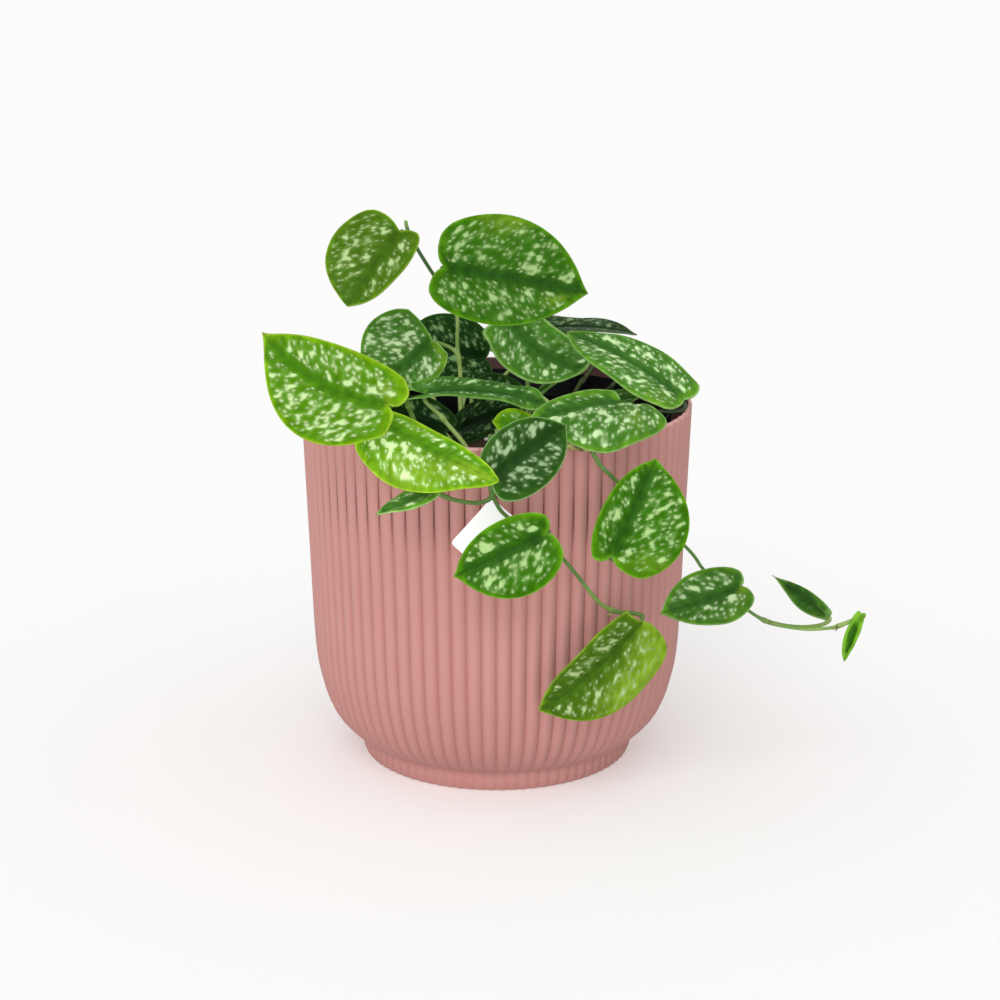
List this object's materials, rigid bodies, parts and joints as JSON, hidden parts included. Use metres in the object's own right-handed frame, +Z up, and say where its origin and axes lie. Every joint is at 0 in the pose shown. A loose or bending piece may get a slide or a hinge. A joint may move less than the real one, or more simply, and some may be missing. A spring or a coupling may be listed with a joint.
{
  "type": "potted trailing houseplant",
  "caption": "Trailing vine houseplant with silver-spotted heart-shaped leaves, in soil in a nursery pot that stands inside a ribbed, round-bottomed plastic planter.",
  "frame": {"origin": "centre of the planter's flat underside, on the surface that it stands on", "axes": "+Z up along the planter's axis; -Y towards the front, where the vines hang over the rim; +X to the right seen from the front, towards the longest vine"},
  "size_m": [0.2047, 0.183, 0.2011],
  "materials": {
    "pot": "matte",
    "nursery_pot": "satin",
    "soil": "matte",
    "label": "satin",
    "stem": "satin",
    "leaf_bright": "satin",
    "leaf_mid": "satin",
    "leaf_dark": "satin"
  },
  "bodies": {
    "root": {"leaf_back_1": "leaf_mid", "leaf_back_2": "leaf_bright", "leaf_back_3": "leaf_mid", "leaf_back_4": "leaf_dark", "leaf_back_5": "leaf_mid", "leaf_back_6": "leaf_dark", "leaf_back_7": "leaf_mid", "leaf_back_8": "leaf_dark", "leaf_back_9": "leaf_bright", "leaf_crown_1": "leaf_mid", "leaf_crown_2": "leaf_mid", "leaf_front_1": "leaf_dark", "leaf_front_2": "leaf_mid", "leaf_front_3": "leaf_dark", "leaf_front_4": "leaf_bright", "leaf_inner_1": "leaf_dark", "leaf_inner_2": "leaf_dark", "leaf_inner_3": "leaf_dark", "leaf_inner_4": "leaf_dark", "leaf_left_1": "leaf_bright", "leaf_left_2": "leaf_bright", "leaf_left_3": "leaf_dark", "leaf_left_4": "leaf_mid", "leaf_low_1": "leaf_dark", "leaf_low_2": "leaf_mid", "leaf_low_3": "leaf_dark", "leaf_low_4": "leaf_dark", "leaf_right_1": "leaf_mid", "leaf_right_2": "leaf_mid", "leaf_right_3": "leaf_dark", "leaf_right_4": "leaf_mid", "leaf_trail_1": "leaf_mid", "leaf_trail_2": "leaf_mid", "leaf_trail_3": "leaf_mid", "leaf_trail_4": "leaf_dark", "leaf_trail_5": "leaf_dark", "leaf_trail_6": "leaf_bright", "nursery_pot": "nursery_pot", "plant_label": "label", "pot": "pot", "soil": "soil", "stem_back": "stem", "stem_back_left": "stem", "stem_back_right": "stem", "stem_crown": "stem", "stem_front": "stem", "stem_inner": "stem", "stem_left": "stem", "stem_middle": "stem", "stem_right": "stem", "stem_rim": "stem"}
  },
  "joints": []
}
